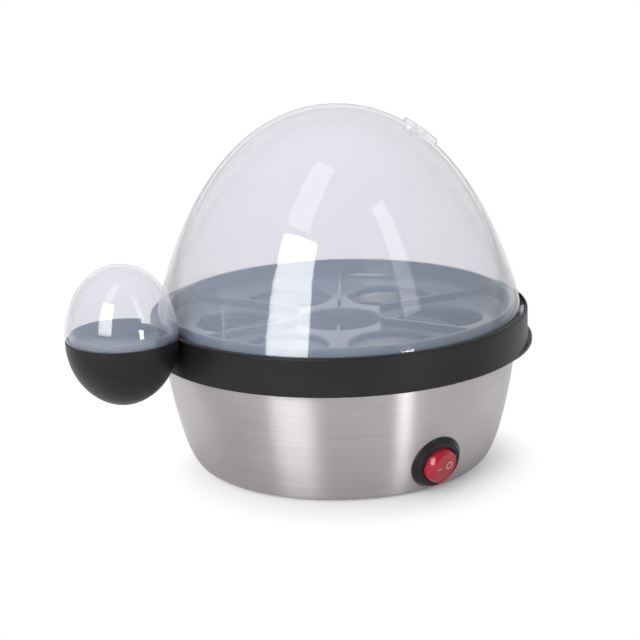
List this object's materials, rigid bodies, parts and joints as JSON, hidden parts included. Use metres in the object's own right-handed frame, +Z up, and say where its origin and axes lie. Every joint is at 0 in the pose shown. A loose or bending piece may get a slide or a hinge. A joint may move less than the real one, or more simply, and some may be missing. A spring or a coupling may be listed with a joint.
{
  "type": "electric egg cooker",
  "caption": "Round electric egg cooker with a steel bowl, a lift-off egg rack in a black ring, a clear egg-shaped dome, a side egg cup with its own clear lid and a red rocker switch.",
  "frame": {"origin": "on the bowl's axis at the worktop, the plane of the feet's undersides", "axes": "+Z up along the bowl's axis, -Y out through the rocker switch, -X towards the side egg cup"},
  "size_m": [0.2319, 0.18, 0.1709],
  "materials": {
    "brushed_bowl": "brushed round the bowl",
    "base_plastic": "fine texture",
    "foot_rubber": "matt",
    "zinc_steel": "bright zinc",
    "silicone": "matt, translucent grey",
    "pan_steel": "satin",
    "spreader_aluminium": "as cast",
    "element_tube": "annealed, dull",
    "thermostat_body": "phenolic",
    "fuse_case": "glass fibre sleeve",
    "tab_brass": "tinned",
    "switch_black": "satin gloss",
    "lamp_glass": "clear",
    "rocker_red": "translucent, gloss",
    "block_plastic": "nylon",
    "sleeve_nylon": "nylon",
    "wire_brown": "heat-proof insulation",
    "wire_blue": "heat-proof insulation",
    "wire_green": "green and yellow insulation",
    "ring_black": "satin",
    "rack_black": "gloss",
    "clear_plastic": "clear with a faint milky cast"
  },
  "bodies": {
    "base": {"bowl_shell": "brushed_bowl", "base_cover": "base_plastic", "rubber_feet": "foot_rubber", "pan_pillars": "zinc_steel", "base_screws": "zinc_steel", "pan_seal": "silicone", "heating_pan": "pan_steel", "heat_spreader": "spreader_aluminium", "heating_element": "element_tube", "element_pins": "zinc_steel", "thermostat": "thermostat_body", "thermostat_screws": "zinc_steel", "thermal_fuse": "fuse_case", "fuse_clip": "zinc_steel", "earth_tab": "tab_brass", "earth_screw": "zinc_steel", "switch_escutcheon": "switch_black", "switch_housing": "switch_black", "switch_terminals": "tab_brass", "neon_lamp": "lamp_glass", "cord_gland": "base_plastic", "gland_nut": "base_plastic", "terminal_block": "block_plastic", "terminal_screws": "tab_brass", "push_on_sleeves": "sleeve_nylon", "live_lead": "wire_brown", "switch_lead": "wire_brown", "lamp_lead": "wire_blue", "neutral_lead": "wire_blue", "fuse_lead": "wire_brown", "element_lead": "wire_brown", "earth_lead": "wire_green"},
    "carrier": {"carrier_ring": "ring_black", "egg_rack": "rack_black"},
    "dome": {"dome_lid": "clear_plastic"},
    "small_lid": {"cup_lid": "clear_plastic"},
    "rocker_cap": {"rocker": "rocker_red"}
  },
  "joints": [
    {"name": "carrier_lift", "type": "slide", "parent": "base", "child": "carrier", "axis": [0, 0, 1], "range_m": [0, 0.08]},
    {"name": "dome_lift", "type": "slide", "parent": "carrier", "child": "dome", "axis": [0, 0, 1], "range_m": [0, 0.12]},
    {"name": "small_lid_lift", "type": "slide", "parent": "carrier", "child": "small_lid", "axis": [0, 0, 1], "range_m": [0, 0.06]},
    {"name": "rocker_turn", "type": "hinge", "parent": "base", "child": "rocker_cap", "pos_m": [0, -0.07727, 0.01551], "axis": [0, 0.291, -0.9567], "range_deg": [0, 24]}
  ]
}
